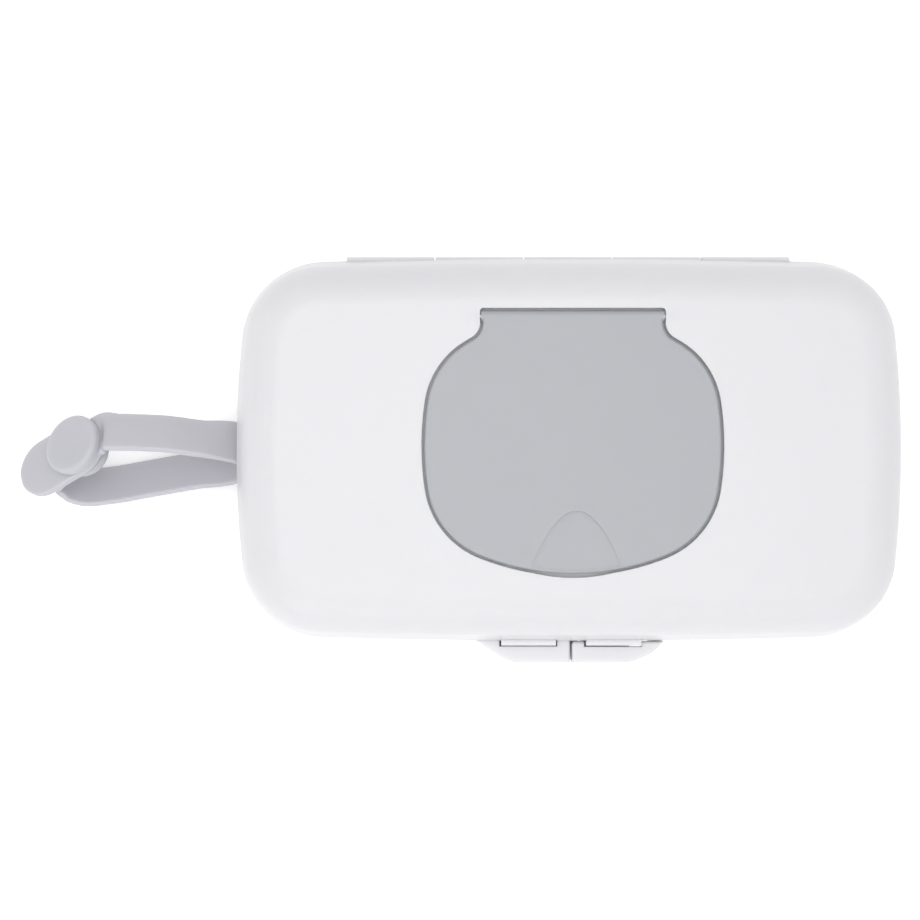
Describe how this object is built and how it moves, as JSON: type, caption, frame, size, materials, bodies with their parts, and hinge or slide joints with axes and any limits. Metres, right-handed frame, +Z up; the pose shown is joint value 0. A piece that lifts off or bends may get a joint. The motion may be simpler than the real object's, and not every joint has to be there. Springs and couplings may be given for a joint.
{
  "type": "travel wipes case",
  "caption": "White clamshell travel wipes case with a grey flip door over the dispensing opening, a front press latch and a looped grey carrying strap.",
  "frame": {"origin": "middle of the flat underside of the base, on the resting plane", "axes": "+X along the long side towards the end without the strap, +Y towards the lid hinge, +Z up through the lid"},
  "size_m": [0.2565, 0.1164, 0.0545],
  "materials": {
    "white_shell": "fine satin moulded white",
    "grey_door": "fine satin moulded grey",
    "strap_grey": "smooth soft grey",
    "soft_seal": "matt translucent white",
    "steel": "drawn wire"
  },
  "bodies": {
    "base": {"base_shell": "white_shell", "lid_seal": "soft_seal", "lid_hinge_pin": "steel", "latch_pivot_pin": "steel", "latch_spring": "steel", "strap_bar": "white_shell"},
    "lid": {"lid_shell": "white_shell", "locating_tongue": "white_shell", "latch_hook": "white_shell", "orifice_membrane": "soft_seal", "orifice_clamp_ring": "white_shell", "door_hinge_pin": "steel"},
    "door": {"door_panel": "grey_door", "door_liner": "grey_door", "door_seal": "soft_seal"},
    "latch": {"latch_button": "white_shell"},
    "strap": {"strap": "strap_grey", "snap_front_cap": "strap_grey", "snap_socket": "strap_grey", "snap_knob": "strap_grey", "snap_back_cap": "strap_grey"}
  },
  "joints": [
    {"name": "lid_hinge", "type": "hinge", "parent": "base", "child": "lid", "pos_m": [0, 0.0526, 0.031], "axis": [-1, 0, 0], "range_deg": [0, 95]},
    {"name": "door_hinge", "type": "hinge", "parent": "lid", "child": "door", "pos_m": [0, 0.03645, 0.05273], "axis": [-1, 0, 0], "range_deg": [0, 100]},
    {"name": "latch_press", "type": "hinge", "parent": "base", "child": "latch", "pos_m": [0, -0.057, 0.023], "axis": [1, 0, 0], "range_deg": [0, 7], "stiffness_Nm_per_rad": 0.05, "deforming": ["latch_spring"]},
    {"name": "strap_swing", "type": "hinge", "parent": "base", "child": "strap", "pos_m": [-0.0892, 0, 0.016], "axis": [0, 1, 0], "range_deg": [-30, 35]}
  ]
}
